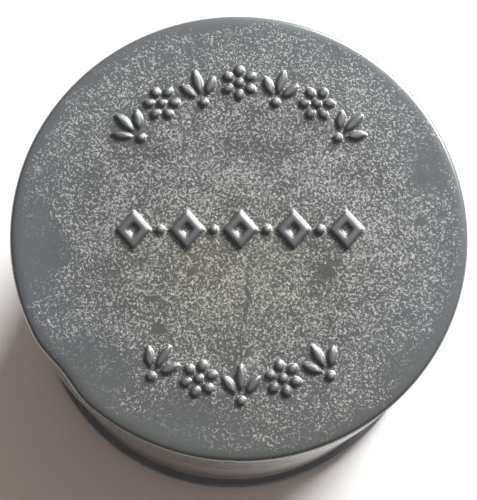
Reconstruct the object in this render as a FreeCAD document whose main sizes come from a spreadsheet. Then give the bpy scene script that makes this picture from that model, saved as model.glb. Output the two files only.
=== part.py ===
import FreeCAD, Part
import math
import os

import Sketcher

# A round slip-lid tin for clotted cream, shut: a thin pressed lid with embossed ornament,
# pushed over a seamed body that it can't be seen into. Z is the tin's axis, and z = 0 is the
# surface that the base seam stands on.

# Driving dimensions, in millimetres and degrees.
SIZES = {
    "TinHeight": 46.5,            # base seam to the flat top of the lid
    "LidDiameter": 62.0,
    "SkirtLength": 14.5,
    "LidCorner": 0.6,             # outer radius between top and skirt
    "SheetThickness": 0.3,
    "SlipGap": 0.2,               # skirt to wall, on the radius
    "ShoulderRounding": 1.1,      # top of the body, under the lid's corner
    "FootHeight": 2.9,            # folded seam that joins base and wall
    "FootProjection": 1.35,
    "FootThickness": 1.9,
    "FootRounding": 0.5,
    "BaseRecess": 2.5,            # base panel above the foot
    "BaseCorner": 0.8,
    "LapWidth": 4.0,              # soldered side seam of the wall
    "LapRise": 0.15,
    "LapGap": 1.0,                # skirt's edge to the upper end of the lap
    "ReliefHeight": 0.5,
    "ReliefDraft": 35.0,          # slope of the relief's sides
    "StrokeWidth": 1.4,           # at the foot of the relief
    "BeadDiameter": 1.4,
    "BeadGap": 0.4,
    "FigureHeight": 5.8,
    "SprayAngle": 36.0,           # a spray's outer petals from its middle one
    "SprayShortening": 0.9,       # of the outer petals
    "DaisyDiameter": 5.2,
    "DiamondWidth": 5.0,
    "ArcRadius": 20.9,            # lid's centre to the middle of the curved rows
    "ArcPitch": 15.4,
    "RowPitch": 7.2,
}
UPPER_FIGURES = 7
LOWER_FIGURES = 5
DIAMONDS = 5
DAISY_PETALS = 6

# What follows from them, as expressions that the sketches are tied to.
lidRadius = "Sizes.LidDiameter / 2"
lidInside = f"({lidRadius} - Sizes.SheetThickness)"
lidArcX = f"({lidRadius} - Sizes.LidCorner)"
lidArcZ = "(Sizes.TinHeight - Sizes.LidCorner)"
lidUnderside = "(Sizes.TinHeight - Sizes.SheetThickness)"
skirtEdge = "(Sizes.TinHeight - Sizes.SkirtLength)"
wall = f"({lidInside} - Sizes.SlipGap)"
shoulderX = f"({wall} - Sizes.ShoulderRounding)"
shoulderZ = f"({lidUnderside} - Sizes.ShoulderRounding)"
footOutside = f"({wall} + Sizes.FootProjection)"
footInside = f"({footOutside} - Sizes.FootThickness)"
reliefTop = "(Sizes.TinHeight + Sizes.ReliefHeight)"
draftInset = "(Sizes.ReliefHeight * tan(Sizes.ReliefDraft * 1 deg))"

V = FreeCAD.Vector
UP = V(0, 0, 1)

doc = FreeCAD.newDocument("ClottedCreamTin")
sheet = doc.addObject("Spreadsheet::Sheet", "Sizes")
for line, (alias, size) in enumerate(SIZES.items(), start=1):
    sheet.set(f"A{line}", alias)
    sheet.set(f"B{line}", str(size))
    sheet.setAlias(f"B{line}", alias)
doc.recompute()


# --- Sketching ---

def value(expression):
    return float(sheet.evalExpression(expression))


def datum(body, role):
    return next(item for item in body.Origin.OriginFeatures if item.Role == role)


def newBody(name):
    body = doc.addObject("PartDesign::Body", name)
    body.Label = name
    return body


def newSketch(body, name, role="XZ_Plane", offset=None):
    """A sketch on one of the body's planes, moved by offset: {placement value: expression}."""
    sketch = body.newObject("Sketcher::SketchObject", name)
    sketch.AttachmentSupport = [(datum(body, role), "")]
    sketch.MapMode = "FlatFace"
    sketch.AttachmentOffset = FreeCAD.Placement(V(), FreeCAD.Rotation(UP, 0))
    for place, expression in (offset or {}).items():
        sketch.setExpression(f"AttachmentOffset.{place}", expression)
    return sketch


def tie(sketch, kind, curve, point, expression):
    """Holds one coordinate of a point of the sketch to an expression."""
    size = value(expression)
    if abs(size) < 1e-9:
        axis = -2 if kind == "DistanceX" else -1
        sketch.addConstraint(Sketcher.Constraint("PointOnObject", curve, point, axis))
        return
    index = sketch.addConstraint(Sketcher.Constraint(kind, -1, 1, curve, point, size))
    sketch.setExpression(f"Constraints[{index}]", expression)


def drawOutline(sketch, corners):
    """Draws a closed outline. A corner is (x, y), or (x, y, arcX, arcY) where the edge that
    starts there is an arc about that centre: the short way round, and a half turn goes left."""
    points = [V(value(corner[0]), value(corner[1]), 0) for corner in corners]
    edges = []
    for corner, start, end in zip(corners, points, points[1:] + points[:1]):
        if len(corner) == 2:
            edges.append((sketch.addGeometry(Part.LineSegment(start, end)), 1, 2))
            continue
        centre = V(value(corner[2]), value(corner[3]), 0)
        leftTurn = (start - centre).cross(end - centre).z > -1e-9
        ends = (start, end) if leftTurn else (end, start)
        first, last = [math.atan2(point.y - centre.y, point.x - centre.x) for point in ends]
        if last < first:
            last += 2 * math.pi
        circle = Part.Circle(centre, UP, (start - centre).Length)
        arc = sketch.addGeometry(Part.ArcOfCircle(circle, first, last))
        edges.append((arc, 1, 2) if leftTurn else (arc, 2, 1))
    for edge, following in zip(edges, edges[1:] + edges[:1]):
        join = Sketcher.Constraint("Coincident", edge[0], edge[2], following[0], following[1])
        sketch.addConstraint(join)
    for corner, (curve, start, _) in zip(corners, edges):
        tie(sketch, "DistanceX", curve, start, corner[0])
        tie(sketch, "DistanceY", curve, start, corner[1])
        if len(corner) == 4:
            # The arc's two ends leave its centre one free coordinate.
            tie(sketch, "DistanceX", curve, 3, corner[2])


def drawCircle(sketch, radius, x="0", y="0"):
    """A circle as two half turns, which a tapered pad takes."""
    drawOutline(sketch, [(x, f"{y} - ({radius})", x, y), (x, f"{y} + {radius}", x, y)])


# --- Features ---

def revolve(body, sketch, name, angle="360"):
    turned = body.newObject("PartDesign::Revolution", name)
    turned.Profile = sketch
    turned.ReferenceAxis = (sketch, ["V_Axis"])
    turned.Midplane = True
    turned.setExpression("Angle", angle)
    return turned


def pad(body, sketch, name):
    raised = body.newObject("PartDesign::Pad", name)
    raised.Profile = sketch
    raised.setExpression("Length", "Sizes.ReliefHeight")
    raised.setExpression("TaperAngle", "-Sizes.ReliefDraft")
    doc.recompute()
    return raised


def pocket(body, sketch, name, upwards):
    cut = body.newObject("PartDesign::Pocket", name)
    cut.Profile = sketch
    cut.Reversed = upwards
    cut.setExpression("Length", "Sizes.ReliefHeight")
    if not upwards:
        cut.setExpression("TaperAngle", "-Sizes.ReliefDraft")
    doc.recompute()
    return cut


# --- Embossed figures: each draws its outline moved inwards by an inset ---

def drawPetal(sketch, inset, angle, near, far, footY="0"):
    """A pointed oval, one stroke wide, on a ray from (0, footY), from near to far along it."""
    middle, reach = f"(({near} + {far}) / 2)", f"(({far} - {near}) / 2)"
    halfWidth = "(Sizes.StrokeWidth / 2)"
    radius = f"(({reach} ^ 2 + {halfWidth} ^ 2) / 2 / {halfWidth})"
    bulge = f"({radius} - {halfWidth})"
    tip = f"sqrt(({radius} - {inset}) ^ 2 - {bulge} ^ 2)"
    along, across = f"cos({angle} * 1 deg)", f"sin({angle} * 1 deg)"

    def point(ray, side="0"):
        return f"({ray}) * {along} - {side} * {across}", \
               f"{footY} + ({ray}) * {across} + {side} * {along}"

    inner, outer = point(f"{middle} - {tip}"), point(f"{middle} + {tip}")
    drawOutline(sketch, [(*inner, *point(middle, bulge)), (*outer, *point(middle, f"-{bulge}"))])


def drawBead(sketch, inset, y="0"):
    drawCircle(sketch, f"(Sizes.BeadDiameter / 2 - {inset})", "0", y)


def drawSpray(sketch, inset):
    """Three petals that spread from a bead."""
    foot = "(Sizes.BeadDiameter / 2 - Sizes.FigureHeight / 2)"
    near = "(Sizes.BeadDiameter / 2 + Sizes.BeadGap)"
    far = "(Sizes.FigureHeight - Sizes.BeadDiameter / 2)"
    drawBead(sketch, inset, foot)
    drawPetal(sketch, inset, "90", near, far, foot)
    for side in (-1, 1):
        angle = f"(90 + {side} * Sizes.SprayAngle)"
        drawPetal(sketch, inset, angle, near, f"({far} - Sizes.SprayShortening)", foot)


def drawDaisy(sketch, inset):
    drawBead(sketch, inset)
    for petal in range(DAISY_PETALS):
        angle = f"{90 + 360 * petal / DAISY_PETALS}"
        drawPetal(sketch, inset, angle, "(Sizes.BeadDiameter / 2 + Sizes.BeadGap / 2)",
                  "(Sizes.DaisyDiameter / 2)")


def drawDiamond(sketch, inset):
    height, width = "(Sizes.FigureHeight / 2)", "(Sizes.DiamondWidth / 2)"
    share = f"(1 - {inset} * sqrt(1 / {height} ^ 2 + 1 / {width} ^ 2))"
    x, y = f"{width} * {share}", f"{height} * {share}"
    drawOutline(sketch, [(x, "0"), ("0", y), (f"-{x}", "0"), ("0", f"-{y}")])


def emboss(body, name, draw, offset, ring=False):
    """Raises a figure on the lid, opens it if it is a ring, and hollows it from below."""
    def outline(part, level):
        return newSketch(body, f"{name}{part}", "XY_Plane", {**offset, "Base.z": level})

    raised = outline("Outline", "Sizes.TinHeight")
    draw(raised, "0")
    features = [pad(body, raised, f"{name}Relief")]
    hollow = outline("HollowOutline", lidUnderside)
    draw(hollow, "Sizes.SheetThickness")
    if ring:
        opening = outline("OpeningOutline", reliefTop)
        draw(opening, f"(Sizes.StrokeWidth - {draftInset})")
        features.append(pocket(body, opening, f"{name}Opening", upwards=False))
        draw(hollow, "(Sizes.StrokeWidth - Sizes.SheetThickness)")
    features.append(pocket(body, hollow, f"{name}Hollow", upwards=True))
    return features


def repeatFigures(body, name, features, count, step, axis="Z_Axis"):
    polar = axis == "Z_Axis"
    pattern = body.newObject(f"PartDesign::{'Polar' if polar else 'Linear'}Pattern", name)
    pattern.Originals = features
    pattern.Occurrences = count
    if polar:
        pattern.Axis = (datum(body, axis), [""])
        pattern.setExpression("Angle", f"{count - 1} * {step}")
    else:
        pattern.Direction = (datum(body, axis), [""])
        pattern.setExpression("Length", f"{count - 1} * {step}")
    body.Tip = pattern
    doc.recompute()


def curvedRow(body, name, side, figures):
    """Upright sprays and daisies in turn along an arc, on the lid's far side (1) or near (-1)."""
    step = "(2 * Sizes.ArcPitch)"
    for kind, draw, skip in (("Spray", drawSpray, 0), ("Daisy", drawDaisy, 1)):
        count = (figures + 1 - skip) // 2
        first = f"(-{(count - 1) / 2} * {step}) * 1 deg"
        offset = {
            "Base.x": f"-{side} * Sizes.ArcRadius * sin({first})",
            "Base.y": f"{side} * Sizes.ArcRadius * cos({first})",
            "Rotation.Angle": first,
        }
        features = emboss(body, f"{name}{kind}", draw, offset)
        repeatFigures(body, f"{name}{kind}Pattern", features, count, step)


def straightRow(body):
    for kind, draw, ring, count in (("Diamond", drawDiamond, True, DIAMONDS),
                                    ("Bead", drawBead, False, DIAMONDS - 1)):
        offset = {"Base.x": f"-{(count - 1) / 2} * Sizes.RowPitch"}
        features = emboss(body, kind, draw, offset, ring)
        repeatFigures(body, f"{kind}Pattern", features, count, "Sizes.RowPitch", "X_Axis")


# --- Pieces ---

def buildLid():
    body = newBody("lid")
    section = newSketch(body, "LidSection")
    drawOutline(section, [
        ("0", lidUnderside),
        (lidArcX, lidUnderside, lidArcX, lidArcZ),
        (lidInside, lidArcZ),
        (lidInside, skirtEdge),
        (lidRadius, skirtEdge),
        (lidRadius, lidArcZ, lidArcX, lidArcZ),
        (lidArcX, "Sizes.TinHeight"),
        ("0", "Sizes.TinHeight"),
    ])
    revolve(body, section, "LidSheet")
    doc.recompute()
    curvedRow(body, "Upper", 1, UPPER_FIGURES)
    curvedRow(body, "Lower", -1, LOWER_FIGURES)
    straightRow(body)
    return body


def buildTinBody():
    body = newBody("tin_body")
    section = newSketch(body, "BodySection")
    footRoundOut = f"({footOutside} - Sizes.FootRounding)"
    footRoundIn = f"({footInside} + Sizes.FootRounding)"
    footRoundTop = "(Sizes.FootHeight - Sizes.FootRounding)"
    baseArcX = f"({footInside} - Sizes.BaseCorner)"
    baseArcZ = "(Sizes.BaseRecess - Sizes.BaseCorner)"
    drawOutline(section, [
        ("0", "Sizes.BaseRecess"),
        (baseArcX, "Sizes.BaseRecess", baseArcX, baseArcZ),
        (footInside, baseArcZ),
        (footInside, "Sizes.FootRounding", footRoundIn, "Sizes.FootRounding"),
        (footRoundIn, "0"),
        (footRoundOut, "0", footRoundOut, "Sizes.FootRounding"),
        (footOutside, "Sizes.FootRounding"),
        (footOutside, footRoundTop, footRoundOut, footRoundTop),
        (footRoundOut, "Sizes.FootHeight"),
        (wall, "Sizes.FootHeight"),
        (wall, shoulderZ, shoulderX, shoulderZ),
        (shoulderX, lidUnderside),
        ("0", lidUnderside),
    ])
    revolve(body, section, "FilledBody")
    lap = newSketch(body, "LapSection", "YZ_Plane")
    lapInside = f"({wall} - Sizes.SheetThickness)"
    lapOutside = f"({wall} + Sizes.LapRise)"
    lapTop = f"({skirtEdge} - Sizes.LapGap)"
    drawOutline(lap, [
        (lapInside, "Sizes.FootHeight"),
        (lapOutside, "Sizes.FootHeight"),
        (lapOutside, lapTop),
        (lapInside, lapTop),
    ])
    revolve(body, lap, "SideLap", f"Sizes.LapWidth / {wall} * 1 rad")
    doc.recompute()
    return body


def checkDocument(bodies):
    doc.recompute()
    for item in doc.Objects:
        if {"Invalid", "Error"} & set(item.State):
            raise RuntimeError(f"{item.Name} failed: {item.State}")
    for body in bodies:
        if body.Shape.isNull() or not body.Shape.isValid() or len(body.Shape.Solids) != 1:
            raise RuntimeError(f"{body.Label} is not one valid solid")


pieces = [buildLid(), buildTinBody()]
checkDocument(pieces)
os.makedirs("parts", exist_ok=True)
for piece in pieces:
    piece.Shape.exportStep(f"parts/{piece.Label}.step")
    print(piece.Label, "volume", round(piece.Shape.Volume, 1), "faces", len(piece.Shape.Faces))
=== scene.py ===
import math

import bmesh
import bpy
from mathutils import Matrix, Vector


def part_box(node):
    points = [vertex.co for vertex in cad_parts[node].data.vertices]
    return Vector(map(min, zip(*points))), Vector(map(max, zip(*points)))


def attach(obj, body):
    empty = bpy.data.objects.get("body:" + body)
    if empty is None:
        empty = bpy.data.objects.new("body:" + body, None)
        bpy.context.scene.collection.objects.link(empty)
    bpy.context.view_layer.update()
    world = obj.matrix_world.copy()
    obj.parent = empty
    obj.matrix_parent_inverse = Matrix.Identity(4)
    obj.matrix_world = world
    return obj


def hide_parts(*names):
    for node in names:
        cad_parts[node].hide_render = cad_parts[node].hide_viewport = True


mm = 0.001
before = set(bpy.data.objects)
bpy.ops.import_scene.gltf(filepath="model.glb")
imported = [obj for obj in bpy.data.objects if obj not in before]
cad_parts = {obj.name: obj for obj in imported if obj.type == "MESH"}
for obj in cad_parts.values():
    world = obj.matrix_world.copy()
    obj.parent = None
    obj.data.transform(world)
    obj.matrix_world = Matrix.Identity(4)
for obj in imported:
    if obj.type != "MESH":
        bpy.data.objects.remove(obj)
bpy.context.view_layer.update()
lidLow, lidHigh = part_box("lid")
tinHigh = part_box("tin_body")[1]


# Small helpers for modelling


def clearSelection():
    if bpy.context.object and bpy.context.object.mode != "OBJECT":
        bpy.ops.object.mode_set(mode="OBJECT")
    bpy.ops.object.select_all(action="DESELECT")


def activate(piece):
    clearSelection()
    piece.select_set(True)
    bpy.context.view_layer.objects.active = piece


def editPiece(piece, kind="VERT"):
    activate(piece)
    bpy.ops.object.mode_set(mode="EDIT")
    bpy.ops.mesh.select_mode(type=kind)


def pick(piece, kind, test):
    mesh = bmesh.from_edit_mesh(piece.data)
    bpy.ops.mesh.select_all(action="DESELECT")
    for part in getattr(mesh, kind):
        if test(part):
            part.select_set(True)
    mesh.select_flush_mode()
    bmesh.update_edit_mesh(piece.data)


def newCircle(name, around, radius, height, fill="NOTHING", centre=(0, 0)):
    clearSelection()
    bpy.ops.mesh.primitive_circle_add(
        vertices=around,
        radius=radius,
        fill_type=fill,
        location=(centre[0], centre[1], height),
    )
    piece = bpy.context.object
    piece.name = name
    bpy.ops.object.transform_apply(location=True, rotation=True, scale=True)
    return piece


def pullRings(start, stops):
    # each stop is a radius and a height, and the selected loop is extruded from one to the next
    radius, height = start
    for nextRadius, nextHeight in stops:
        grow = nextRadius / radius
        bpy.ops.mesh.extrude_region_move()
        bpy.ops.transform.resize(value=(grow, grow, 1), center_override=(0, 0, height))
        bpy.ops.transform.translate(value=(0, 0, nextHeight - height))
        radius, height = nextRadius, nextHeight


def bend(centre, radius, first, last, steps):
    # stops round a bend, from the first to the last angle, in degrees from straight outwards
    stops = []
    for step in range(1, steps + 1):
        turn = math.radians(first + (last - first) * step / steps)
        stops.append((centre[0] + radius * math.cos(turn), centre[1] + radius * math.sin(turn)))
    return stops


def useModifier(piece, kind, **settings):
    activate(piece)
    modifier = piece.modifiers.new(kind.lower(), kind)
    for key, value in settings.items():
        setattr(modifier, key, value)
    bpy.ops.object.modifier_apply(modifier=modifier.name)


def pushDent(piece, dent):
    # a knock from outside: the nearest point is pushed in and its neighbours follow
    way = Vector((math.cos(dent["turn"]), math.sin(dent["turn"]), 0))
    spot = way * dent["radius"] + Vector((0, 0, dent["height"]))
    editPiece(piece)
    mesh = bmesh.from_edit_mesh(piece.data)
    nearest = min(mesh.verts, key=lambda vert: (vert.co - spot).length)
    pick(piece, "verts", lambda vert: vert.index == nearest.index)
    push = -way * dent["depth"] + Vector((0, 0, -dent["drop"]))
    bpy.ops.transform.translate(
        value=push,
        use_proportional_edit=True,
        proportional_edit_falloff="SMOOTH",
        proportional_size=dent["reach"],
    )
    bpy.ops.object.mode_set(mode="OBJECT")


def smoothLook(piece, sharpest):
    activate(piece)
    bpy.ops.object.shade_smooth_by_angle(angle=math.radians(sharpest))


# Dies for the pressed ornament

ornament = {
    "rise": 0.5 * mm,
    "stroke": 1.4 * mm,
    "bead": 1.4 * mm,
    "gap": 0.4 * mm,
    "figure": 5.8 * mm,
    "spread": 36,
    "shorter": 0.9 * mm,
    "daisy": 5.2 * mm,
    "daisyPetals": 6,
    "diamond": 5.0 * mm,
    "arcRadius": 20.9 * mm,
    "arcPitch": 15.4,
    "rowPitch": 7.2 * mm,
    "upper": 7,
    "lower": 5,
    "middle": 5,
    "flank": 0.19 * mm,
    "shoulder": 0.15 * mm,
    "steepShare": 0.84,
    "pointShare": 0.55,
    "sink": 0.01 * mm,
    "petalAround": 160,
    "beadAround": 48,
    "merge": 0.001 * mm,
}
panelHeight = lidHigh.z - ornament["rise"]
dieFoot = panelHeight - ornament["sink"]


def sideSteps():
    # a steep flank, then a shallow shoulder that makes the top round: width and rise of each
    steep = ornament["rise"] * ornament["steepShare"]
    return [(ornament["flank"], steep), (ornament["shoulder"], ornament["rise"] - steep)]


def raiseDie(die, centre, halfWidth, halfLength):
    # a pointed end leans in further than the long sides do
    pointed = ornament["pointShare"] * halfLength / halfWidth + 1 - ornament["pointShare"]
    width, length, height = halfWidth, halfLength, dieFoot
    editPiece(die, "FACE")
    bpy.ops.mesh.select_all(action="SELECT")
    for inward, lift in sideSteps():
        slimmer = (width - inward) / width
        shorter = (length - inward * pointed) / length
        bpy.ops.mesh.extrude_region_move()
        bpy.ops.transform.resize(value=(slimmer, shorter, 1), center_override=(0, centre, height))
        bpy.ops.transform.translate(value=(0, 0, lift))
        width, length, height = width * slimmer, length * shorter, height + lift
    bpy.ops.object.mode_set(mode="OBJECT")


def petalDie(name, near, far):
    # half a pointed oval is cut from a circle and mirrored
    half = (far - near) / 2
    side = ornament["stroke"] / 2
    middle = (near + far) / 2
    sweep = (half * half + side * side) / (2 * side)
    die = newCircle(name, ornament["petalAround"], sweep, dieFoot, "NGON", (side - sweep, middle))
    editPiece(die)
    bpy.ops.mesh.select_all(action="SELECT")
    bpy.ops.mesh.bisect(
        plane_co=(0, 0, dieFoot),
        plane_no=(1, 0, 0),
        clear_inner=True,
        threshold=ornament["merge"] / 10,
    )
    bpy.ops.object.mode_set(mode="OBJECT")
    useModifier(die, "MIRROR", merge_threshold=ornament["merge"])
    editPiece(die, "EDGE")
    pick(die, "edges", lambda edge: len(edge.link_faces) == 2)
    bpy.ops.mesh.dissolve_edges(use_verts=False)
    raiseDie(die, middle, side, half)
    return die


def beadDie(name, height=0.0):
    radius = ornament["bead"] / 2
    die = newCircle(name, ornament["beadAround"], radius, dieFoot, "NGON", (0, height))
    raiseDie(die, height, radius, radius)
    return die


def copyOf(piece, name, turn=0, place=(0, 0)):
    made = piece.copy()
    made.data = piece.data.copy()
    made.name = name
    bpy.context.collection.objects.link(made)
    shift = Matrix.Translation((place[0], place[1], 0))
    made.data.transform(shift @ Matrix.Rotation(math.radians(turn), 4, "Z"))
    return made


def joinAll(pieces, name):
    clearSelection()
    for piece in pieces:
        piece.select_set(True)
    bpy.context.view_layer.objects.active = pieces[0]
    bpy.ops.object.join()
    joined = bpy.context.object
    joined.name = name
    return joined


def sprayDie():
    foot = (ornament["bead"] - ornament["figure"]) / 2
    near = ornament["bead"] / 2 + ornament["gap"]
    far = ornament["figure"] - ornament["bead"] / 2
    middle = petalDie("sprayMiddle", near, far)
    outer = petalDie("sprayOuter", near, far - ornament["shorter"])
    leaves = [copyOf(middle, "leaf", 0, (0, foot))]
    for side in (-1, 1):
        leaves.append(copyOf(outer, "leaf", side * ornament["spread"], (0, foot)))
    for spare in (middle, outer):
        bpy.data.objects.remove(spare)
    return joinAll(leaves + [beadDie("sprayBead", foot)], "spray")


def daisyDie():
    near = ornament["bead"] / 2 + ornament["gap"] / 2
    petal = petalDie("daisyPetal", near, ornament["daisy"] / 2)
    count = ornament["daisyPetals"]
    petals = [copyOf(petal, "petal", 360 / count * number) for number in range(count)]
    bpy.data.objects.remove(petal)
    return joinAll(petals + [beadDie("daisyBead")], "daisy")


def diamondDie():
    die = newCircle("diamond", 4, 1.0, dieFoot, "NGON")
    editPiece(die, "FACE")
    bpy.ops.mesh.select_all(action="SELECT")
    bpy.ops.transform.resize(value=(ornament["diamond"] / 2, ornament["figure"] / 2, 1))
    crown = ornament["stroke"] - 2 * (ornament["flank"] + ornament["shoulder"])
    outer = sideSteps()
    inner = [(width, -rise) for width, rise in reversed(outer)]
    for width, depth in outer + [(crown, 0)] + inner:
        bpy.ops.mesh.inset(thickness=width, depth=depth)
    bpy.ops.mesh.delete(type="FACE")
    bpy.ops.object.mode_set(mode="OBJECT")
    return die


def makeDies():
    spray, daisy, diamond, bead = sprayDie(), daisyDie(), diamondDie(), beadDie("bead")
    made = []
    for count, side in ((ornament["upper"], 1), (ornament["lower"], -1)):
        for number in range(count):
            turn = (number - (count - 1) / 2) * ornament["arcPitch"]
            reach = math.radians(turn)
            place = (
                -side * ornament["arcRadius"] * math.sin(reach),
                side * ornament["arcRadius"] * math.cos(reach),
            )
            made.append(copyOf(daisy if number % 2 else spray, "figure", turn, place))
    for number in range(ornament["middle"]):
        across = (number - (ornament["middle"] - 1) / 2) * ornament["rowPitch"]
        made.append(copyOf(diamond, "figure", 0, (across, 0)))
        if number:
            made.append(copyOf(bead, "figure", 0, (across - ornament["rowPitch"] / 2, 0)))
    for spare in (spray, daisy, diamond, bead):
        bpy.data.objects.remove(spare)
    return joinAll(made, "dies")


# The lid, spun from one sheet and pressed on the dies

lidShape = {
    "around": 960,
    "panel": 24.8 * mm,
    "corner": 0.65 * mm,
    "easeFrom": 29.3 * mm,
    "easeDrop": 0.07 * mm,
    "sheet": 0.3 * mm,
    "bendFrom": 82,
    # where the rings lie, as shares of each stretch of the profile
    "marginRings": (0.35, 0.7, 1),
    "easeRings": (0.25, 0.5, 0.75, 1),
    "skirtRings": (0.93, 0.84, 0.72, 0.56, 0.38, 0.2, 0.08),
    "insideRings": (0.3, 0.6, 0.9, 1),
    "topBand": 0.1 * mm,
    "pressLimit": 1 * mm,
    "soften": 2,
    "waves": 0.10 * mm,
    "waveSize": 14 * mm,
    "waveFade": 4 * mm,
    "sharpest": 60,
}
rimDent = {
    "turn": math.radians(219),
    "radius": lidHigh.x - 0.3 * mm,
    "height": panelHeight - 0.3 * mm,
    "depth": 0.62 * mm,
    "drop": 0.12 * mm,
    "reach": 6.0 * mm,
}
pryMark = {
    "turn": math.radians(267),
    "radius": lidHigh.x,
    "height": panelHeight - 1.5 * mm,
    "depth": 0.22 * mm,
    "drop": 0.0,
    "reach": 1.8 * mm,
}


def pressOn(lid, dies):
    editPiece(lid)
    edge = lidShape["panel"] * 1.001
    low = panelHeight - lidShape["topBand"]
    pick(lid, "verts", lambda vert: vert.co.xy.length < edge and vert.co.z > low)
    bpy.ops.object.vertex_group_assign_new()
    lid.vertex_groups.active.name = "panel"
    bpy.ops.object.mode_set(mode="OBJECT")
    useModifier(
        lid,
        "SHRINKWRAP",
        target=dies,
        wrap_method="PROJECT",
        use_project_z=True,
        use_positive_direction=True,
        use_negative_direction=False,
        project_limit=lidShape["pressLimit"],
        vertex_group="panel",
    )
    useModifier(
        lid,
        "SMOOTH",
        factor=0.5,
        iterations=lidShape["soften"],
        use_x=False,
        use_y=False,
        vertex_group="panel",
    )
    bpy.data.objects.remove(dies)


def waveSheet(piece, strength, size, direction, group):
    waves = bpy.data.textures.new(piece.name + "Waves", "CLOUDS")
    waves.noise_scale = size
    waves.noise_depth = 1
    useModifier(
        piece,
        "DISPLACE",
        texture=waves,
        texture_coords="LOCAL",
        direction=direction,
        strength=strength,
        mid_level=1.0,
        vertex_group=group,
    )


def makeLid():
    shape = lidShape
    radius, sheet, corner, panel = lidHigh.x, shape["sheet"], shape["corner"], shape["panel"]
    lid = newCircle("lidSheet", shape["around"], panel, panelHeight)
    flat, inside, foot, ease = radius - corner, radius - sheet, lidLow.z, shape["easeFrom"]
    top = panelHeight - shape["easeDrop"]
    drop = top - corner - foot
    stops = [(panel + (ease - panel) * share, panelHeight) for share in shape["marginRings"]]
    for share in shape["easeRings"]:
        stops.append((ease + (flat - ease) * share, panelHeight - shape["easeDrop"] * share**2))
    stops += bend((flat, top - corner), corner, shape["bendFrom"], 0, 7)
    stops += [(radius, foot + drop * share) for share in shape["skirtRings"]]
    stops += bend((radius - sheet / 2, foot + sheet / 2), sheet / 2, 0, -180, 6)
    stops += [(inside, foot + drop * share) for share in shape["insideRings"]]
    stops += bend((flat, top - corner), corner - sheet, 0, 90, 3)
    stops += [(ease, panelHeight - sheet)]
    editPiece(lid, "EDGE")
    bpy.ops.mesh.select_all(action="SELECT")
    pullRings((panel, panelHeight), stops)
    bpy.ops.mesh.edge_face_add()
    pick(lid, "edges", lambda edge: len(edge.link_faces) == 1)
    bpy.ops.mesh.fill_grid(span=shape["around"] // 4)
    bpy.ops.mesh.select_all(action="SELECT")
    bpy.ops.mesh.normals_make_consistent(inside=False)
    bpy.ops.object.mode_set(mode="OBJECT")
    pressOn(lid, makeDies())
    group = lid.vertex_groups.new(name="loose")
    for vert in lid.data.vertices:
        reach = vert.co.xy.length
        if vert.co.z > panelHeight - shape["topBand"] and reach < flat:
            group.add([vert.index], min(1, (flat - reach) / shape["waveFade"]), "REPLACE")
    waveSheet(lid, shape["waves"], shape["waveSize"], "Z", "loose")
    lid.vertex_groups.clear()
    pushDent(lid, rimDent)
    pushDent(lid, pryMark)
    smoothLook(lid, shape["sharpest"])
    print("lid", len(lid.data.vertices))
    return lid


# The tin under it: wall, folded base seam, soldered side lap, sunk base

tinShape = {
    "around": 360,
    "wall": 30.5 * mm,
    "shoulder": 1.1 * mm,
    "seamTop": 2.9 * mm,
    "seamInside": 29.95 * mm,
    "seamRound": 0.5 * mm,
    "roll": 0.62 * mm,
    "fillet": 0.45 * mm,
    "baseHeight": 2.5 * mm,
    "baseCorner": 0.8 * mm,
    "basePanel": 25.5 * mm,
    "baseStep": 0.25 * mm,
    "lapWidth": 4.0 * mm,
    "lapRise": 0.13 * mm,
    "lapTop": 31.0 * mm,
    # where the wall's rings lie, as shares of the way from the seam to the lap's top
    "wallRings": (0.05, 0.2, 0.4, 0.6, 0.8, 0.97, 1),
    "hiddenRing": 6 * mm,
    "waves": 0.05 * mm,
    "waveSize": 12 * mm,
    "waveFrom": 4 * mm,
    "dentBelow": 1.2 * mm,
    "sharpest": 50,
}


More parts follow.
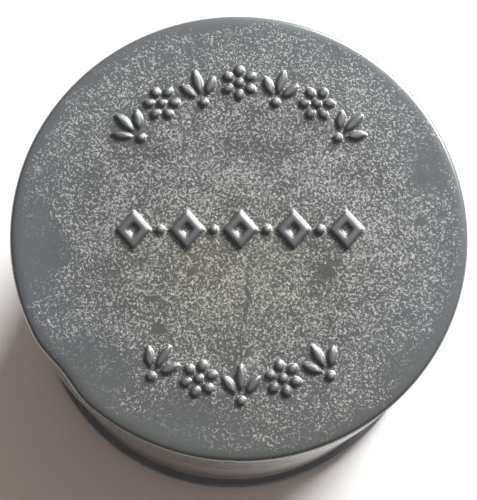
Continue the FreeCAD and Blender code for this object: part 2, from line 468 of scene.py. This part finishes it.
def makeTin():
    shape = tinShape
    wall, seam, top, seamTop = shape["wall"], tinHigh.x, tinHigh.z, shape["seamTop"]
    inside, rounding, roll = shape["seamInside"], shape["seamRound"], shape["roll"]
    base, corner, step = shape["baseHeight"], shape["baseCorner"], shape["baseStep"]
    panel, shoulder, fillet = shape["basePanel"], shape["shoulder"], shape["fillet"]
    start = (panel / 2, base + step)
    tin = newCircle("tinBody", shape["around"], start[0], start[1], "NGON")
    # the base, with one low step round its panel
    stops = [(panel - 2 * step, base + step), (panel, base + step * 0.85)]
    stops += [(panel + step, base + step * 0.15), (panel + 3 * step, base)]
    stops += [(inside - corner, base)]
    stops += bend((inside - corner, base - corner), corner, 90, 0, 6)
    # the folded seam
    stops += bend((inside + rounding, rounding), rounding, 180, 270, 5)
    stops += bend((seam - rounding, rounding), rounding, 270, 360, 5)
    stops += [(seam, (rounding + seamTop - roll) / 2)]
    stops += bend((seam - roll, seamTop - roll), roll, 0, 90, 6)
    stops += [(wall + fillet, seamTop)]
    stops += bend((wall + fillet, seamTop + fillet), fillet, 270, 180, 5)
    # the wall and its shoulder
    rise = shape["lapTop"] - seamTop
    stops += [(wall, seamTop + rise * share) for share in shape["wallRings"]]
    stops += [(wall, top - shoulder - shape["hiddenRing"])]
    stops += bend((wall - shoulder, top - shoulder), shoulder, 0, 90, 5)
    editPiece(tin, "EDGE")
    pick(tin, "edges", lambda edge: True)
    pullRings(start, stops)
    bpy.ops.mesh.edge_face_add()
    bpy.ops.mesh.select_all(action="SELECT")
    bpy.ops.mesh.normals_make_consistent(inside=False)
    reach = math.asin(shape["lapWidth"] / 2 / wall)
    bpy.ops.mesh.select_mode(type="FACE")

    def onLap(face):
        middle = face.calc_center_median()
        upright = seamTop + fillet < middle.z < shape["lapTop"]
        return upright and abs(math.atan2(middle.x, middle.y)) < reach and face.normal.y > 0.9

    pick(tin, "faces", onLap)
    outwards = {"value": -shape["lapRise"]}
    bpy.ops.mesh.extrude_region_shrink_fatten(TRANSFORM_OT_shrink_fatten=outwards)
    bpy.ops.object.mode_set(mode="OBJECT")
    group = tin.vertex_groups.new(name="wall")
    upper = [vert.index for vert in tin.data.vertices if vert.co.z > shape["waveFrom"]]
    group.add(upper, 1, "REPLACE")
    waveSheet(tin, shape["waves"], shape["waveSize"], "NORMAL", "wall")
    tin.vertex_groups.clear()
    pushDent(tin, dict(rimDent, radius=wall, height=top - shape["dentBelow"]))
    smoothLook(tin, shape["sharpest"])
    print("tin", len(tin.data.vertices))
    return tin


# Helpers for finishes


def newFinish(name):
    finish = bpy.data.materials.new(name)
    finish.use_nodes = True
    tree = finish.node_tree
    tree.nodes.clear()
    shader = tree.nodes.new("ShaderNodeBsdfPrincipled")
    result = tree.nodes.new("ShaderNodeOutputMaterial")
    tree.links.new(shader.outputs[0], result.inputs["Surface"])
    return finish, tree, shader


def giveFinish(piece, finish):
    piece.data.materials.clear()
    piece.data.materials.append(finish)


def feed(tree, socket, value):
    if isinstance(value, bpy.types.NodeSocket):
        tree.links.new(value, socket)
    else:
        socket.default_value = value


def calc(tree, operation, *values):
    made = tree.nodes.new("ShaderNodeMath")
    made.operation = operation
    for socket, value in zip(made.inputs, values):
        feed(tree, socket, value)
    return made.outputs[0]


def chain(tree, operation, values):
    total = values[0]
    for value in values[1:]:
        total = calc(tree, operation, total, value)
    return total


def plus(tree, *values):
    return chain(tree, "ADD", values)


def times(tree, *values):
    return chain(tree, "MULTIPLY", values)


def greatest(tree, *values):
    return chain(tree, "MAXIMUM", values)


def minus(tree, first, second):
    return calc(tree, "SUBTRACT", first, second)


def absolute(tree, value):
    return calc(tree, "ABSOLUTE", value)


def without(tree, value, cover):
    return times(tree, value, minus(tree, 1.0, cover))


def fromMiddle(tree, x, y):
    return calc(tree, "SQRT", plus(tree, times(tree, x, x), times(tree, y, y)))


def fade(tree, value, low, high, first=0.0, last=1.0):
    made = tree.nodes.new("ShaderNodeMapRange")
    made.interpolation_type = "SMOOTHSTEP"
    given = {"Value": value, "From Min": low, "From Max": high, "To Min": first, "To Max": last}
    for name, number in given.items():
        feed(tree, made.inputs[name], number)
    return made.outputs[0]


def fadeOut(tree, value, low, high):
    return fade(tree, value, low, high, 1.0, 0.0)


def blendColours(tree, amount, under, over):
    made = tree.nodes.new("ShaderNodeMix")
    made.data_type = "RGBA"
    feed(tree, made.inputs[0], amount)
    feed(tree, made.inputs[6], under)
    feed(tree, made.inputs[7], over)
    return made.outputs[2]


def moved(tree, place, shift=(0, 0, 0), scale=(1, 1, 1), turn=0):
    made = tree.nodes.new("ShaderNodeMapping")
    made.vector_type = "POINT"
    made.inputs["Location"].default_value = shift
    made.inputs["Rotation"].default_value = (0, 0, math.radians(turn))
    made.inputs["Scale"].default_value = scale
    tree.links.new(place, made.inputs["Vector"])
    return made.outputs[0]


def clouds(tree, place, grain, detail=2.0, roughness=0.5, distortion=0.0):
    made = tree.nodes.new("ShaderNodeTexNoise")
    made.inputs["Scale"].default_value = 1 / grain
    made.inputs["Detail"].default_value = detail
    made.inputs["Roughness"].default_value = roughness
    made.inputs["Distortion"].default_value = distortion
    tree.links.new(place, made.inputs["Vector"])
    return made.outputs[0]


def split(tree, place):
    made = tree.nodes.new("ShaderNodeSeparateXYZ")
    tree.links.new(place, made.inputs[0])
    return made.outputs


def objectPlace(tree):
    return tree.nodes.new("ShaderNodeTexCoord").outputs["Object"]


def addBump(tree, shader, height):
    bump = tree.nodes.new("ShaderNodeBump")
    bump.inputs["Strength"].default_value = wallLook["bumpStrength"]
    bump.inputs["Distance"].default_value = wallLook["bumpDistance"]
    feed(tree, bump.inputs["Height"], height)
    feed(tree, shader.inputs["Normal"], bump.outputs[0])


markLook = {
    "wormCore": 0.4,
    "gapShift": (0.013, 0.007, 0.002),
    "gapGrain": 1.15,
    "gapLevel": 0.66,
    "gapDrop": 0.26,
    "gapEdge": (-0.04, 0.08),
    "spotEdge": (0.35, 1.0),
    "lineCore": 0.3,
    "lineEnds": 0.75,
    "wanderGrain": 2.5 * mm,
    "wander": 1.6 * mm,
}


def worms(tree, place, grain, band, crowd):
    # thin bands along the middle level of a noise, broken up by a second noise,
    # and fewer of them where crowd is low
    look = markLook
    level = clouds(tree, place, grain, 1.0, 0.4, 0.4)
    away = absolute(tree, minus(tree, level, 0.5))
    line = fadeOut(tree, away, band * look["wormCore"], band)
    gaps = clouds(tree, moved(tree, place, look["gapShift"]), grain * look["gapGrain"], 0.0)
    edge = minus(tree, look["gapLevel"], times(tree, crowd, look["gapDrop"]))
    return times(tree, line, fade(tree, minus(tree, gaps, edge), *look["gapEdge"]))


def alongMark(tree, place, across, up, turn):
    # how far along and beside a turned mark each point lies, from the mark's middle
    cos, sin = math.cos(math.radians(turn)), math.sin(math.radians(turn))
    x, y = split(tree, place)[:2]
    x, y = minus(tree, x, across * mm), minus(tree, y, up * mm)
    along = plus(tree, times(tree, x, cos), times(tree, y, sin))
    beside = plus(tree, times(tree, x, -sin), times(tree, y, cos))
    return along, beside


def spotAt(tree, place, spot):
    # 1 at the middle of a soft oval and 0 outside it
    across, up, wide, tall, turn = spot
    along, beside = alongMark(tree, place, across, up, turn)
    reach = fromMiddle(tree, times(tree, along, 1 / wide / mm), times(tree, beside, 1 / tall / mm))
    return fadeOut(tree, reach, *markLook["spotEdge"])


def lineAt(tree, place, line):
    # 1 along a short bowed line that wanders a little, and 0 beside it
    look = markLook
    across, up, half, thick, turn, bow = line
    along, beside = alongMark(tree, place, across, up, turn)
    curve = times(tree, along, along, bow / mm)
    noise = clouds(tree, place, look["wanderGrain"], 1.0)
    wander = times(tree, minus(tree, noise, 0.5), look["wander"])
    off = absolute(tree, plus(tree, minus(tree, beside, curve), wander))
    ends = fadeOut(tree, absolute(tree, along), half * look["lineEnds"] * mm, half * mm)
    return times(tree, fadeOut(tree, off, thick * look["lineCore"] * mm, thick * mm), ends)


# Tarnish of an upright wall, on the lid's skirt and on the body

wallLook = {
    "patchGrain": 6 * mm,
    "patchLevels": (0.36, 0.64),
    "drawnGrain": 0.8 * mm,
    "drawnScale": (1, 1, 0.10),
    "drawnLevels": (0.42, 0.72, 0.0, 0.5),
    "rubGrain": 1.8 * mm,
    "rubShift": (0.01, 0.02, 0),
    "rubScale": (0.22, 0.22, 3.5),
    "rubLevels": (0.58, 0.76, 0.0, 0.5),
    "paleGrain": 0.45 * mm,
    "paleBand": 0.06,
    "paleLevels": (0.42, 0.7),
    "paleStrength": 0.35,
    "patchRoughness": 0.25,
    "drawnRoughness": 0.15,
    "paleHeight": 0.4,
    "bumpStrength": 0.25,
    "bumpDistance": 0.05 * mm,
}


def wallTarnish(tree, place, light, dull, worn):
    # soft patches, fine upright drawing marks, rubs round the wall and a few pale marks
    look = wallLook
    patches = clouds(tree, place, look["patchGrain"], 4.0, 0.65)
    drawn = clouds(tree, moved(tree, place, scale=look["drawnScale"]), look["drawnGrain"], 3.0, 0.6)
    rubs = clouds(tree, moved(tree, place, look["rubShift"], look["rubScale"]), look["rubGrain"])
    crowd = fade(tree, patches, *look["paleLevels"])
    pale = worms(tree, place, look["paleGrain"], look["paleBand"], crowd)
    colour = blendColours(tree, fade(tree, patches, *look["patchLevels"]), light, dull)
    colour = blendColours(tree, fade(tree, drawn, *look["drawnLevels"]), colour, dull)
    colour = blendColours(tree, fade(tree, rubs, *look["rubLevels"]), colour, worn)
    colour = blendColours(tree, times(tree, pale, look["paleStrength"]), colour, worn)
    uneven = plus(
        tree,
        times(tree, patches, look["patchRoughness"]),
        times(tree, drawn, look["drawnRoughness"]),
    )
    return colour, uneven, plus(tree, drawn, times(tree, pale, look["paleHeight"]))


# Tarnished tinplate of the lid

lidLook = {
    "slate": (0.222, 0.228, 0.224, 1),
    "smoky": (0.190, 0.194, 0.192, 1),
    "outer": (0.272, 0.292, 0.304, 1),
    "low": (0.240, 0.250, 0.232, 1),
    "warm": (0.222, 0.224, 0.200, 1),
    "haze": (0.280, 0.282, 0.262, 1),
    "tan": (0.330, 0.290, 0.240, 1),
    "pressed": (0.190, 0.197, 0.203, 1),
    "speckle": (0.740, 0.750, 0.730, 1),
    "warmSpeckle": (0.780, 0.765, 0.690, 1),
    "stain": (0.120, 0.120, 0.112, 1),
    "skirt": (0.310, 0.300, 0.287, 1),
    "skirtDull": (0.245, 0.240, 0.232, 1),
    "worn": (0.500, 0.490, 0.472, 1),
    "metallic": 0.75,
    "speckleMetallic": 0.25,
    # roughness, and what each thing adds to it
    "roughness": 0.32,
    "raggedRoughness": 0.15,
    "speckleRoughness": 0.2,
    "raisedRoughness": 0.24,
    "turnedRoughness": -0.14,
    "sideRoughness": -0.12,
    "raggedHeight": 0.6,
    # bands of height above the flat top
    "raisedBand": (0.04 * mm, 0.20 * mm),
    "sideBand": (-0.8 * mm, -0.35 * mm),
    "turnedBand": (-0.3 * mm, -0.04 * mm),
    # painted highlight: a paler band round the skirt just under the corner
    "cornerHighlightFrom": (-2.4 * mm, -1.3 * mm),
    "cornerHighlightTo": (-1.1 * mm, -0.7 * mm),
    "cornerHighlightStrength": 0.35,
    # the skirt darkens towards its lower edge
    "darkEdgeBand": (0.4 * mm, 2.2 * mm, 0.45, 0.0),
    "scrapeWide": 2.2 * mm,
    "scrapeTall": 0.8 * mm,
    "scrapeEdge": (0.3, 1.0),
    "scrapeStrength": 0.8,
    "scrapeFront": (-30 * mm, -29 * mm),
    # bands of distance from the axis, and of y
    "marginBand": (28.2 * mm, 31.2 * mm),
    "marginWander": 8 * mm,
    "thinningBand": (16 * mm, 29 * mm, 1.0, 0.55),
    "outerBand": (14 * mm, 29 * mm, 0.0, 0.9),
    "lowBand": (-24 * mm, -12 * mm, 0.8, 0.0),
    # the noises that share out tarnish and speckle
    "raggedGrain": 3.2 * mm,
    "broadGrain": 11 * mm,
    "broadShift": (0.021, 0.034, 0),
    "broadShare": 0.4,
    "broadLevels": (0.35, 0.65),
    "crowdLevels": (0.30, 0.68, 0.22, 0.80),
    "speckleGrain": 0.33 * mm,
    "speckleStrength": 0.85,
    "speckleFrom": (0.02, 0.3),
    "firstBand": 0.070,
    "secondBand": 0.060,
    "secondGrain": 0.85,
    "secondStrength": 0.8,
    "secondShift": (0.05, 0.02, 0.01),
    "secondTurn": 37,
    "pitShift": (0.07, 0.03, 0.02),
    "pitGrain": 0.7,
    "pitLevels": (0.52, 0.68),
    "pitStrength": 0.45,
    "pressedStrength": 0.9,
    # soft ovals: middle, half width and half height in mm, and turn
    "heart": (-2, -7, 22, 15, 0),
    "heartStrength": 0.7,
    "hazeStrength": 0.25,
    "tanSpot": (-5.3, -4.1, 6, 4, 0),
    "tanStrength": 0.3,
    "stainStrength": 0.08,
    "nick": (-25.4, -12.4, 0.5, 0.22, -50),
    # where the speckle thins out, in the same terms
    "thin": (
        (-27, -3, 5, 8, 0),
        (-20, -19, 9, 8, 30),
        (-9, -26, 9, 5, 0),
        (-15, 14.5, 5, 4, 0),
        (25.5, 9, 4, 6, 0),
        (22, -18, 5, 6, 0),
        (2, 11.5, 9, 3, -3),
        (11, -6, 3, 2, 20),
    ),
    "thinStrength": 0.55,
    "spotLevels": (0.3, 0.9),
    "spotStrength": 0.9,
    "lineStrength": 0.6,
    # dark smooth spots
    "spots": (
        (-10.9, -13.4, 1.6, 1.3, 0),
        (11.6, -5.6, 1.9, 0.9, 70),
        (-11.8, -9.3, 1.7, 0.55, 8),
        (-6.6, -5.9, 1.0, 0.7, 30),
        (24.6, 1.2, 1.4, 0.9, 0),
    ),
    # faint stain lines: middle, half length, half width, turn and bow
    "lines": (
        (1.2, -8.0, 5.6, 0.42, 86, 0.004),
        (-0.2, -15.6, 3.6, 0.32, 82, 0.0),
        (-16.6, -10.4, 2.9, 0.24, -5, 0.02),
        (-12.0, -9.9, 3.0, 0.26, 27, 0.02),
        (-11.4, -10.9, 2.8, 0.2, 24, 0.0),
        (17.0, -9.6, 4.8, 0.28, 18, 0.01),
    ),
}


def lidCrowd(tree, place, reach, ragged, broad, clears):
    # how dense the speckle is: in drifts, less so outwards, thin in places, and none where clear
    look = lidLook
    share = look["broadShare"]
    mixed = plus(tree, times(tree, broad, share), times(tree, ragged, 1 - share))
    crowd = fade(tree, mixed, *look["crowdLevels"])
    crowd = times(tree, crowd, fade(tree, reach, *look["thinningBand"]))
    for spot in look["thin"]:
        thinner = times(tree, spotAt(tree, place, spot), look["thinStrength"])
        crowd = without(tree, crowd, thinner)
    for clear in clears:
        crowd = without(tree, crowd, clear)
    return crowd


def lidSpeckle(tree, place, crowd):
    # two layers of pale worm-like marks
    look = lidLook
    grain = look["speckleGrain"]
    first = worms(tree, place, grain, look["firstBand"], crowd)
    across = moved(tree, place, look["secondShift"], turn=look["secondTurn"])
    second = worms(tree, across, grain * look["secondGrain"], look["secondBand"], crowd)
    marks = greatest(tree, first, times(tree, second, look["secondStrength"]))
    return times(tree, marks, fade(tree, crowd, *look["speckleFrom"]))


def lidGround(tree, place, y, reach, broad, crowd, heart, stained, raised):
    # the grey under the speckle: warmer at the heart, bluer outwards, stained in places
    look = lidLook
    drifts = fade(tree, broad, *look["broadLevels"])
    ground = blendColours(tree, drifts, look["smoky"], look["slate"])
    ground = blendColours(tree, times(tree, heart, look["heartStrength"]), ground, look["warm"])
    ground = blendColours(tree, fade(tree, reach, *look["outerBand"]), ground, look["outer"])
    ground = blendColours(tree, fade(tree, y, *look["lowBand"]), ground, look["low"])
    ground = blendColours(tree, times(tree, crowd, look["hazeStrength"]), ground, look["haze"])
    tan = times(tree, spotAt(tree, place, look["tanSpot"]), look["tanStrength"])
    ground = blendColours(tree, tan, ground, look["tan"])
    ground = blendColours(tree, times(tree, stained, look["stainStrength"]), ground, look["stain"])
    pressed = times(tree, raised, look["pressedStrength"])
    ground = blendColours(tree, pressed, ground, look["pressed"])
    grain = look["speckleGrain"] * look["pitGrain"]
    pits = clouds(tree, moved(tree, place, look["pitShift"]), grain, 1.0)
    pits = times(tree, fade(tree, pits, *look["pitLevels"]), crowd, look["pitStrength"])
    return blendColours(tree, pits, ground, look["stain"])


def skirtHighlightAndWear(tree, x, y, z, above, colour):
    # a painted highlight, a paler band along the skirt just under the corner, and metal shows where
    # the lid was pried up
    look = lidLook
    cornerHighlight = fade(tree, above, *look["cornerHighlightFrom"])
    cornerHighlight = times(tree, cornerHighlight, fadeOut(tree, above, *look["cornerHighlightTo"]), look["cornerHighlightStrength"])
    colour = blendColours(tree, cornerHighlight, colour, look["worn"])
    middle = pryMark["radius"] * math.cos(pryMark["turn"])
    aside = times(tree, minus(tree, x, middle), 1 / look["scrapeWide"])
    under = times(tree, minus(tree, z, pryMark["height"]), 1 / look["scrapeTall"])
    apart = plus(tree, times(tree, aside, aside), times(tree, under, under))
    front = fadeOut(tree, y, *look["scrapeFront"])
    scraped = times(tree, fadeOut(tree, apart, *look["scrapeEdge"]), front)
    return blendColours(tree, times(tree, scraped, look["scrapeStrength"]), colour, look["worn"])


def lidFinish():
    look = lidLook
    finish, tree, shader = newFinish("tarnishedLidTinplate")
    place = objectPlace(tree)
    x, y, z = split(tree, place)
    reach = fromMiddle(tree, x, y)
    above = minus(tree, z, panelHeight)
    raised = fade(tree, above, *look["raisedBand"])
    side = fadeOut(tree, above, *look["sideBand"])
    turned = fadeOut(tree, above, *look["turnedBand"])
    ragged = clouds(tree, place, look["raggedGrain"], 3.0, 0.6)
    broad = clouds(tree, moved(tree, place, look["broadShift"]), look["broadGrain"], 3.0, 0.55)
    unevenness = minus(tree, ragged, 0.5)
    edgeReach = plus(tree, reach, times(tree, unevenness, look["marginWander"]))
    margin = fade(tree, edgeReach, *look["marginBand"])

    spots = greatest(tree, *[spotAt(tree, place, spot) for spot in look["spots"]])
    spots = fade(tree, plus(tree, spots, unevenness), *look["spotLevels"])
    lines = greatest(tree, *[lineAt(tree, place, line) for line in look["lines"]])
    clearSpots = times(tree, spots, look["spotStrength"])
    clearLines = times(tree, lines, look["lineStrength"])
    clears = (margin, raised, clearSpots, clearLines)
    crowd = lidCrowd(tree, place, reach, ragged, broad, clears)
    speckle = greatest(tree, lidSpeckle(tree, place, crowd), spotAt(tree, place, look["nick"]))

    heart = spotAt(tree, place, look["heart"])
    stained = greatest(tree, lines, spots)
    ground = lidGround(tree, place, y, reach, broad, crowd, heart, stained, raised)
    marks = blendColours(tree, heart, look["speckle"], look["warmSpeckle"])
    colour = blendColours(tree, times(tree, speckle, look["speckleStrength"]), ground, marks)
    wall, uneven, drawn = wallTarnish(tree, place, look["skirt"], look["skirtDull"], look["worn"])
    # the skirt is darker towards its lower edge
    darkEdge = fade(tree, minus(tree, z, lidLow.z), *look["darkEdgeBand"])
    colour = blendColours(tree, side, colour, blendColours(tree, darkEdge, wall, look["stain"]))
    colour = skirtHighlightAndWear(tree, x, y, z, above, colour)

    metallic = fade(tree, speckle, 0.0, 1.0, look["metallic"], look["speckleMetallic"])
    rough = plus(
        tree,
        look["roughness"],
        times(tree, unevenness, look["raggedRoughness"]),
        times(tree, speckle, look["speckleRoughness"]),
        times(tree, raised, look["raisedRoughness"]),
        times(tree, turned, look["turnedRoughness"]),
        times(tree, side, plus(tree, uneven, look["sideRoughness"])),
    )
    feed(tree, shader.inputs["Base Color"], colour)
    feed(tree, shader.inputs["Metallic"], metallic)
    feed(tree, shader.inputs["Roughness"], rough)
    ripples = times(tree, ragged, look["raggedHeight"])
    addBump(tree, shader, plus(tree, speckle, ripples, times(tree, side, drawn)))
    return finish


# Dull tinplate of the body

tinLook = {
    "bright": (0.420, 0.408, 0.390, 1),
    "dull": (0.325, 0.314, 0.300, 1),
    "worn": (0.520, 0.510, 0.495, 1),
    "seam": (0.225, 0.240, 0.265, 1),
    # painted light: a pale, less metallic colour for the foot of the wall
    "foot": (0.560, 0.560, 0.570, 1),
    "solder": (0.470, 0.468, 0.460, 1),
    # dark colour for the creases beside the side lap, and for the painted shade under the skirt's
    # edge
    "darkEdge": (0.120, 0.115, 0.105, 1),
    "metallic": 0.88,
    "paintedLightFootMetallic": -0.65,
    "roughness": 0.24,
    # bands of height, and of distance from the thing that each is named for
    # painted shade on the wall just under the skirt's edge
    "darkEdgeBand": (0.2 * mm, 1.4 * mm, 0.45, 0.0),
    "creaseBand": (0.05 * mm, 0.22 * mm, 0.7, 0.0),
    "solderOut": 0.35 * mm,
    "solderBand": (-0.1 * mm, 0.25 * mm),
    "solderGrain": 1.5 * mm,
    "solderWander": 0.9 * mm,
    "solderStrength": 0.6,
    "backBand": (28 * mm, 29 * mm),
    "outsideBand": (29.9 * mm, 30.3 * mm),
    "paintedLightFootBand": (3.3 * mm, 5.0 * mm),
    "seamBand": (2.88 * mm, 3.2 * mm),
}


def tinFinish():
    look = tinLook
    finish, tree, shader = newFinish("dullBodyTinplate")
    place = objectPlace(tree)
    x, y, z = split(tree, place)
    colour, uneven, drawn = wallTarnish(tree, place, look["bright"], look["dull"], look["worn"])
    # painted shade: the wall is darkened just under the skirt's edge
    fromEdge = absolute(tree, minus(tree, z, lidLow.z))
    colour = blendColours(tree, fade(tree, fromEdge, *look["darkEdgeBand"]), colour, look["darkEdge"])

    # solder outside both edges of the side lap, and a dark crease along each
    back = fade(tree, y, *look["backBand"])
    beside = minus(tree, absolute(tree, x), tinShape["lapWidth"] / 2)
    crease = times(tree, fade(tree, absolute(tree, beside), *look["creaseBand"]), back)
    wander = times(tree, clouds(tree, place, look["solderGrain"]), look["solderWander"])
    fromBead = minus(tree, absolute(tree, minus(tree, beside, look["solderOut"])), wander)
    solder = times(tree, fadeOut(tree, fromBead, *look["solderBand"]), back)
    colour = blendColours(tree, times(tree, solder, look["solderStrength"]), colour, look["solder"])
    colour = blendColours(tree, crease, colour, look["darkEdge"])

    # painted light at the foot of the wall, a paler and less metallic colour that lifts it out of
    # the shade near the base, and the seam below it
    outside = fade(tree, fromMiddle(tree, x, y), *look["outsideBand"])
    foot = times(tree, fadeOut(tree, z, *look["paintedLightFootBand"]), outside)
    seam = times(tree, fadeOut(tree, z, *look["seamBand"]), outside)
    colour = blendColours(tree, foot, colour, look["foot"])
    colour = blendColours(tree, seam, colour, look["seam"])
    metallic = plus(tree, look["metallic"], times(tree, foot, look["paintedLightFootMetallic"]))
    feed(tree, shader.inputs["Base Color"], colour)
    feed(tree, shader.inputs["Metallic"], metallic)
    feed(tree, shader.inputs["Roughness"], plus(tree, look["roughness"], uneven))
    addBump(tree, shader, plus(tree, drawn, solder))
    return finish


# Floor, light and camera

room = {
    "floorSize": 3.0,
    "floorPatch": 25 * mm,
    "floorFaint": 0.985,
    "floorRoughness": 0.9,
    "floorSpecular": 0.1,
    # the floor for the light it bounces, and above 1 where it is seen, so its lit part clips
    "floorColour": (0.94, 0.94, 0.93, 1),
    "floorShown": (1.30, 1.31, 1.31, 1),
    "overhead": (0.43, 0.45, 0.47, 1),
    "lit": (0.75, 0.74, 0.72, 1),
    "shade": (0.13, 0.125, 0.125, 1),
    "bounce": (0.300, 0.240, 0.215, 1),
    "bounceShade": (0.100, 0.078, 0.070, 1),
    # how far up and towards the key lamp each part of the sky begins and ends
    "overheadLean": 0.8,
    "overheadBand": (0.6, 1.08),
    "litBand": (0.2, 1.0),
    "bounceBand": (-0.8, 0.8),
    "keyTurn": 54,
    "keyRise": 24,
    "keyAway": 2.4,
    "keyWide": 1.1,
    "keyTall": 1.25,
    "keyPower": 102,
}
view = {
    "distance": 185.8 * mm,
    "rise": 76.36,
    "turn": 6.26,
    "aimRight": 0.035,
    "aimUp": -0.82,
    "lens": 99.1,
    "sensor": 36,
    "nearest": 10 * mm,
}


def makeFloor():
    clearSelection()
    bpy.ops.mesh.primitive_plane_add(size=room["floorSize"], location=(0, 0, 0))
    floor = bpy.context.object
    floor.name = "floor"
    finish, tree, shader = newFinish("paleFloor")
    patches = clouds(tree, objectPlace(tree), room["floorPatch"], 3.0)
    pale = room["floorColour"]
    faint = tuple(channel * room["floorFaint"] for channel in pale[:3]) + (1,)
    plain = blendColours(tree, patches, faint, pale)
    # the floor that is seen is brighter than the one that bounces light, in metal too
    path = tree.nodes.new("ShaderNodeLightPath").outputs
    kinds = ("Is Camera Ray", "Is Glossy Ray", "Is Transmission Ray")
    seen = greatest(tree, *[path[kind] for kind in kinds])
    feed(tree, shader.inputs["Base Color"], blendColours(tree, seen, plain, room["floorShown"]))
    shader.inputs["Roughness"].default_value = room["floorRoughness"]
    shader.inputs["Specular IOR Level"].default_value = room["floorSpecular"]
    giveFinish(floor, finish)


def makeSky(turn):
    # three skies: metal sees greys, brighter overhead and towards the key lamp,
    # matt surfaces get a dimmer and warmer one, and the camera alone sees plain white
    world = bpy.data.worlds.new("studio")
    bpy.context.scene.world = world
    world.use_nodes = True
    tree = world.node_tree
    tree.nodes.clear()
    x, y, z = split(tree, tree.nodes.new("ShaderNodeTexCoord").outputs["Generated"])
    across = plus(tree, times(tree, x, math.cos(turn)), times(tree, y, math.sin(turn)))
    facing = plus(tree, z, times(tree, across, room["overheadLean"]))
    overhead = fade(tree, facing, *room["overheadBand"])
    sky = blendColours(tree, overhead, room["shade"], room["overhead"])
    sky = blendColours(tree, fade(tree, across, *room["litBand"]), sky, room["lit"])
    bounce = fade(tree, across, *room["bounceBand"])
    spread = blendColours(tree, bounce, room["bounceShade"], room["bounce"])
    path = tree.nodes.new("ShaderNodeLightPath")
    sky = blendColours(tree, path.outputs["Is Diffuse Ray"], sky, spread)
    soft = tree.nodes.new("ShaderNodeBackground")
    feed(tree, soft.inputs["Color"], sky)
    plain = tree.nodes.new("ShaderNodeBackground")
    plain.inputs["Color"].default_value = (1, 1, 1, 1)
    choose = tree.nodes.new("ShaderNodeMixShader")
    tree.links.new(path.outputs["Is Camera Ray"], choose.inputs[0])
    tree.links.new(soft.outputs[0], choose.inputs[1])
    tree.links.new(plain.outputs[0], choose.inputs[2])
    result = tree.nodes.new("ShaderNodeOutputWorld")
    tree.links.new(choose.outputs[0], result.inputs["Surface"])


def makeLight():
    turn, rise = math.radians(room["keyTurn"]), math.radians(room["keyRise"])
    makeSky(turn)
    level = math.cos(rise)
    way = Vector((math.cos(turn) * level, math.sin(turn) * level, math.sin(rise)))
    lamp = bpy.data.lights.new("keyLamp", "AREA")
    lamp.shape = "RECTANGLE"
    lamp.size, lamp.size_y = room["keyWide"], room["keyTall"]
    lamp.energy = room["keyPower"]
    key = bpy.data.objects.new("keyLamp", lamp)
    key.location = way * room["keyAway"]
    key.rotation_euler = way.to_track_quat("Z", "Y").to_euler()
    bpy.context.collection.objects.link(key)


def sideAndTop(ahead):
    right = ahead.cross(Vector((0, 0, 1))).normalized()
    return right, right.cross(ahead)


def makeCamera():
    rise, turn = math.radians(view["rise"]), math.radians(view["turn"])
    level = math.cos(rise)
    away = Vector((-level * math.sin(turn), -level * math.cos(turn), math.sin(rise)))
    # it looks a little beside the middle of the lid, and is rolled by its own turn
    right, above = sideAndTop(-away)
    ahead = -away + math.tan(math.radians(view["aimRight"])) * right
    ahead += math.tan(math.radians(view["aimUp"])) * above
    ahead.normalize()
    right, above = sideAndTop(ahead)
    rolledRight = math.cos(turn) * right + math.sin(turn) * above
    rolledAbove = math.cos(turn) * above - math.sin(turn) * right
    lens = bpy.data.cameras.new("camera")
    lens.lens = view["lens"]
    lens.sensor_width = view["sensor"]
    lens.clip_start = view["nearest"]
    camera = bpy.data.objects.new("camera", lens)
    bpy.context.collection.objects.link(camera)
    turned = Matrix((rolledRight, rolledAbove, -ahead)).transposed().to_4x4()
    middle = Vector((0, 0, panelHeight))
    camera.matrix_world = Matrix.Translation(middle + away * view["distance"]) @ turned
    bpy.context.scene.camera = camera


bpy.context.scene.view_settings.view_transform = "Standard"

lid = makeLid()
tin = makeTin()
lidMetal = lidFinish()
tinMetal = tinFinish()
giveFinish(lid, lidMetal)
giveFinish(tin, tinMetal)
giveFinish(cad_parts["lid"], lidMetal)
giveFinish(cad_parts["tin_body"], tinMetal)
for piece, node, slot in ((lid, "lid", "lid_tinplate"), (tin, "tin_body", "body_tinplate")):
    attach(piece, "root")
    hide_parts(node)
print("pieces placed")

makeFloor()
makeLight()
makeCamera()
clearSelection()
print("floor, light and camera placed")
